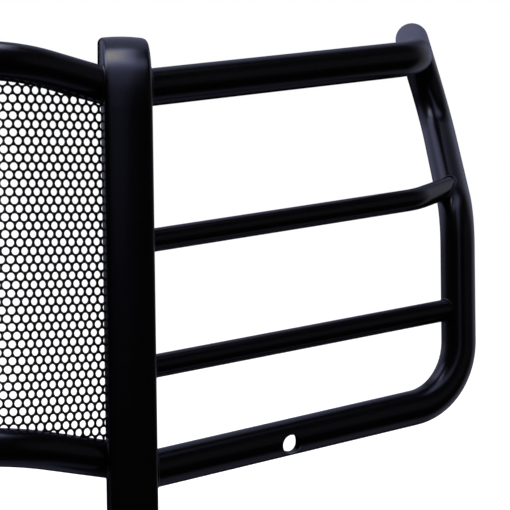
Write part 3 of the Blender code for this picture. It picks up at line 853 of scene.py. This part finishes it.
def hex_body(work, height, chamfer_bottom, bore=0.0):
    """A hexagonal prism whose corners are turned down to a cone at its top, and if asked at its bottom."""
    flats = HEX_FLATS / 2
    flat_end = flats * HEX_FACE
    turns = [2 * pi * k / HEX_SIDES for k in range(HEX_SIDES)]

    def end_ring(z):
        return [work.verts.new((flat_end * cos(t), flat_end * sin(t), z)) for t in turns]

    def corner_ring(z, inward, chamfer):
        ring = []
        for t in turns:
            r = flats / cos((t % (pi / 3)) - pi / 6)
            lift = max(0.0, r - flat_end) * tan(HEX_CHAMFER) if chamfer else HEX_RIM
            ring.append(work.verts.new((r * cos(t), r * sin(t), z + inward * lift)))
        return ring

    rings = [
        end_ring(0.0),
        corner_ring(0.0, 1, chamfer_bottom),
        corner_ring(height, -1, True),
        end_ring(height),
    ]
    for a, b in zip(rings, rings[1:]):
        bridge(work, a, b)
    if bore:
        low = [work.verts.new((bore * cos(t), bore * sin(t), 0.0)) for t in turns]
        high = [work.verts.new((bore * cos(t), bore * sin(t), height)) for t in turns]
        bridge(work, rings[0], low)
        bridge(work, low, high)
        bridge(work, high, rings[-1])
    else:
        work.faces.new(rings[0])
        work.faces.new(rings[-1])


def bolt_mesh(head_height, length):
    """Head above the bearing face, threaded shank below it."""
    work = bmesh.new()
    hex_body(work, head_height, False)
    profile = [(SHANK_CORE, 0.0), (BOLT_RADIUS, 0.0), (BOLT_RADIUS, -length * THREAD_START)]
    for turn in range(int(length * THREAD_SHARE / THREAD_PITCH)):
        z = -length * THREAD_START - turn * THREAD_PITCH
        profile.append((BOLT_RADIUS - THREAD_DEPTH, z - THREAD_PITCH * THREAD_ROOT))
        profile.append((BOLT_RADIUS, z - THREAD_PITCH * THREAD_CREST))
    profile += [(BOLT_RADIUS - THREAD_DEPTH, -length), (SHANK_CORE, -length)]
    lathe(work, profile)
    return work


def make_fasteners(side, label):
    toward = Vector((side, 0, 0)).to_track_quat("Z", "Y").to_matrix().to_4x4()
    kinds = ("hex_bolt", "lock_nut", "head_washer", "nut_washer")
    for number in range(1, BOLTS_PER_SIDE + 1):
        tag = f"{label}_{number}"
        spots = {kind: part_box(f"{kind}_{tag}") for kind in kinds}
        middle = {kind: (low + high) / 2 for kind, (low, high) in spots.items()}
        washer_low, washer_high = spots["head_washer"]
        thick = washer_high.x - washer_low.x
        bearing = middle["head_washer"].x + side * (thick / 2 + GAP)
        bolt_low, bolt_high = spots["hex_bolt"]
        tip = bolt_low.x if side > 0 else bolt_high.x
        crown = bolt_high.x if side > 0 else bolt_low.x
        work = bolt_mesh(abs(crown - bearing), abs(bearing - tip))
        bolt = object_from(work, "bolt_" + tag, ZINC, HEX_SHARP)
        bolt.matrix_world = Matrix.Translation((bearing, middle["hex_bolt"].y, middle["hex_bolt"].z)) @ toward
        stand_in(bolt, "zinc_fastener", "hex_bolt_" + tag)

        nut_low, nut_high = spots["lock_nut"]
        height = nut_high.x - nut_low.x
        base = nut_high.x if side > 0 else nut_low.x
        place = Matrix.Translation((base, middle["lock_nut"].y, middle["lock_nut"].z))
        work = bmesh.new()
        hex_body(work, height * NUT_BODY, True, BOLT_RADIUS + GAP)
        collar, bore = HEX_FLATS * COLLAR_RADIUS, BOLT_RADIUS + COLLAR_PLAY
        lathe(work, [
            (bore, height * COLLAR_FOOT),
            (bore, height),
            (collar - COLLAR_EDGE, height),
            (collar, height * COLLAR_SHOULDER),
            (collar, height * COLLAR_FOOT),
        ])
        nut = object_from(work, "nut_" + tag, ZINC, HEX_SHARP)
        nut.matrix_world = place @ Matrix.Rotation(pi, 4, "Y") @ toward
        stand_in(nut, "zinc_fastener", "lock_nut_" + tag)
        work = bmesh.new()
        lathe(work, [
            (BOLT_RADIUS + RING_PLAY, height * NUT_BODY),
            (BOLT_RADIUS + RING_LIP_PLAY, height * RING_LIP),
            (bore - RING_PLAY, height * RING_RIM),
            (bore - RING_PLAY, height * NUT_BODY),
        ])
        ring = object_from(work, "nylon_ring_" + tag, NYLON, WASHER_SHARP)
        ring.matrix_world = nut.matrix_world
        stand_in(ring, "zinc_fastener")

        for kind in ("head_washer", "nut_washer"):
            low, high = spots[kind]
            half, outer, hole = (high.x - low.x) / 2, (high.y - low.y) / 2, BOLT_RADIUS + WASHER_PLAY
            work = bmesh.new()
            lathe(work, [
                (hole, -half + WASHER_EDGE),
                (hole, half - WASHER_EDGE),
                (hole + WASHER_EDGE, half),
                (outer - WASHER_EDGE, half),
                (outer, half - WASHER_EDGE),
                (outer, WASHER_EDGE - half),
                (outer - WASHER_EDGE, -half),
                (hole + WASHER_EDGE, -half),
            ])
            washer = object_from(work, f"{kind}_disc_{tag}", ZINC, WASHER_SHARP)
            washer.matrix_world = Matrix.Translation(middle[kind]) @ toward
            stand_in(washer, "zinc_fastener", f"{kind}_{tag}")


# Studio


def band(nodes, value, low, high, soft):
    """One between low and high, nothing outside them, with soft edges."""
    rise = nodes.ramp(value, low - soft, low + soft)
    fall = nodes.ramp(value, high - soft, high + soft, 1.0, 0.0)
    return nodes.math("MULTIPLY", rise, fall)


def product(nodes, *factors):
    total = factors[0]
    for factor in factors[1:]:
        total = nodes.math("MULTIPLY", total, factor)
    return total


def make_world():
    """A pale room for the eye, and dark walls with soft boxes for what the paint mirrors."""
    world = bpy.data.worlds.new("studio")
    bpy.context.scene.world = world
    world.use_nodes = True
    nodes = Nodes(world.node_tree)
    background = world.node_tree.nodes["Background"]
    direction = nodes.add("ShaderNodeTexCoord").outputs["Generated"]
    split = nodes.add("ShaderNodeSeparateXYZ")
    nodes.link(direction, split.inputs[0])
    across, back, up = split.outputs

    # Each light is a product of ramps over the mirrored direction: across is +X, back is +Y.
    high_ring = product(nodes, nodes.ramp(up, 0.87, 0.96), nodes.ramp(back, 0.10, -0.05, 0.15, 1.0), 0.45)
    left_box = product(nodes, band(nodes, across, -0.74, -0.33, 0.06), nodes.ramp(back, -0.14, 0.0),
                       nodes.ramp(back, 0.30, 0.50, 1.0, 0.35), nodes.ramp(up, 0.52, 0.66), 1.2)
    shifted = nodes.math("MULTIPLY_ADD", nodes.ramp(up, 0.30, 0.95), -0.10, across)
    front_strip = product(nodes, nodes.ramp(across, -0.24, -0.10), nodes.ramp(shifted, -0.01, 0.12, 1.0, 0.0),
                          nodes.ramp(back, 0.0, -0.3), nodes.ramp(up, -0.03, 0.12),
                          nodes.ramp(up, 0.45, 0.95, 0.27, 0.72))
    high_right = product(nodes, nodes.ramp(up, 0.88, 0.95), nodes.ramp(across, 0.05, 0.15),
                         nodes.ramp(across, 0.24, 0.32, 1.0, 0.0), nodes.ramp(back, 0.0, -0.1), 0.5)
    right_panel = product(nodes, nodes.ramp(across, 0.40, 0.66), nodes.ramp(back, -0.20, 0.40, 0.07, 0.32),
                          nodes.ramp(up, 0.40, 0.75, 1.0, 0.10), nodes.ramp(up, -0.80, -0.52),
                          nodes.math("MAXIMUM", nodes.ramp(up, -0.15, 0.12), nodes.ramp(back, -0.05, 0.20)))
    rear_wall = product(nodes, nodes.ramp(back, 0.10, 0.50), nodes.ramp(up, -0.12, 0.12),
                        nodes.ramp(up, 0.55, 0.82, 0.27, 0.32), nodes.ramp(across, -0.55, 0.0, 1.3, 1.0),
                        nodes.ramp(across, 0.20, 0.45, 1.0, 0.5))
    left_low = product(nodes, nodes.ramp(across, -0.45, -0.70), nodes.ramp(back, -0.25, 0.0),
                       nodes.ramp(up, 0.45, 0.60, 1.0, 0.0), nodes.ramp(up, -0.35, -0.10, 0.13, 0.035))
    below = product(nodes, nodes.ramp(up, -0.60, -0.80), nodes.ramp(back, -0.35, -0.05, 0.1, 1.0), 0.16)
    mirrored = DARK_ROOM
    for light in (high_ring, left_box, front_strip, high_right, right_panel, rear_wall, left_low, below):
        mirrored = nodes.math("ADD", light, mirrored)
    rear_gap = product(nodes, band(nodes, across, -0.15, -0.08, 0.03), nodes.ramp(back, 0.25, 0.40), 0.97)
    right_gap = product(nodes, band(nodes, across, 0.16, 0.46, 0.10), band(nodes, back, -0.02, 0.40, 0.10),
                        nodes.ramp(up, 0.70, 0.85), 0.95)
    for gap in (rear_gap, right_gap):
        mirrored = nodes.math("MULTIPLY", mirrored, nodes.math("SUBTRACT", 1.0, gap))
    cool = nodes.mix_colour(nodes.ramp(back, -0.1, 0.5), FRONT_TINT, REAR_TINT)
    cool = nodes.mix_colour(nodes.ramp(across, 0.45, 0.85), cool, RIGHT_TINT)
    tint = nodes.add("ShaderNodeVectorMath", operation="SCALE")
    nodes.link(cool, tint.inputs[0])
    nodes.link(mirrored, tint.inputs["Scale"])
    path = nodes.add("ShaderNodeLightPath")
    seen = nodes.mix_colour(path.outputs["Is Glossy Ray"], WHITE, tint.outputs[0])
    nodes.link(seen, background.inputs["Color"])


def make_floor(base_z):
    work = bmesh.new()
    bmesh.ops.create_circle(work, cap_ends=True, radius=FLOOR_RADIUS, segments=FLOOR_SIDES)
    material = bpy.data.materials.new("studio_floor")
    material.use_nodes = True
    shader = material.node_tree.nodes["Principled BSDF"]
    shader.inputs["Base Color"].default_value = (*WHITE, 1.0)
    shader.inputs["Roughness"].default_value = FLOOR_ROUGHNESS
    shader.inputs["Emission Color"].default_value = (*WHITE, 1.0)
    shader.inputs["Emission Strength"].default_value = FLOOR_GLOW
    floor = object_from(work, "floor", material)
    floor.location.z = base_z - FLOOR_DROP
    floor.visible_glossy = False


def make_lamp():
    lamp = bpy.data.lights.new("overhead_soft_box", "AREA")
    lamp.shape = "RECTANGLE"
    lamp.size, lamp.size_y = LAMP_SIZE
    lamp.energy = LAMP_WATTS
    obj = bpy.data.objects.new("overhead_soft_box", lamp)
    obj.location = LAMP_PLACE
    obj.rotation_euler = (LAMP_TARGET - LAMP_PLACE).to_track_quat("-Z", "Y").to_euler()
    obj.visible_camera = False
    obj.visible_glossy = False
    bpy.context.scene.collection.objects.link(obj)


def make_soft_boxes():
    """Nested boxes over each upright, for the paint to mirror: brightest and most neutral in the middle."""
    for side, label in SIDES:
        for layer, (width, depth, radiance, colour) in enumerate(SOFT_BOX_LAYERS, 1):
            box = bpy.data.lights.new(f"soft_box_{label}_{layer}", "AREA")
            box.shape = "RECTANGLE"
            box.size, box.size_y = width, depth
            box.energy = radiance * pi * width * depth
            box.color = colour
            obj = bpy.data.objects.new(box.name, box)
            obj.location = LAYOUT_ORIGIN + Vector((side * SOFT_BOX_X, SOFT_BOX_Y, SOFT_BOX_Z))
            obj.visible_camera = False
            obj.visible_diffuse = False
            bpy.context.scene.collection.objects.link(obj)


def make_camera():
    camera = bpy.data.cameras.new("camera")
    camera.lens = CAMERA_LENS
    camera.sensor_width = CAMERA_SENSOR
    obj = bpy.data.objects.new("camera", camera)
    obj.location = LAYOUT_ORIGIN + CAMERA_PLACE
    obj.rotation_euler = (pi / 2 + CAMERA_PITCH, 0.0, -CAMERA_YAW)
    bpy.context.scene.collection.objects.link(obj)
    bpy.context.scene.camera = obj


def main():
    make_centre_tubes()
    make_punched_plate()
    for side, label in SIDES:
        upright = make_upright(side, label)
        wing_frame = make_wing(side, label)
        make_welds(side, label, upright, wing_frame)
        make_plates(label)
        make_plate_welds(side, label)
        make_fasteners(side, label)
    base_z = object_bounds()[0].z
    make_world()
    make_floor(base_z)
    make_lamp()
    make_soft_boxes()
    make_camera()
    bpy.context.scene.view_settings.view_transform = "Standard"


main()
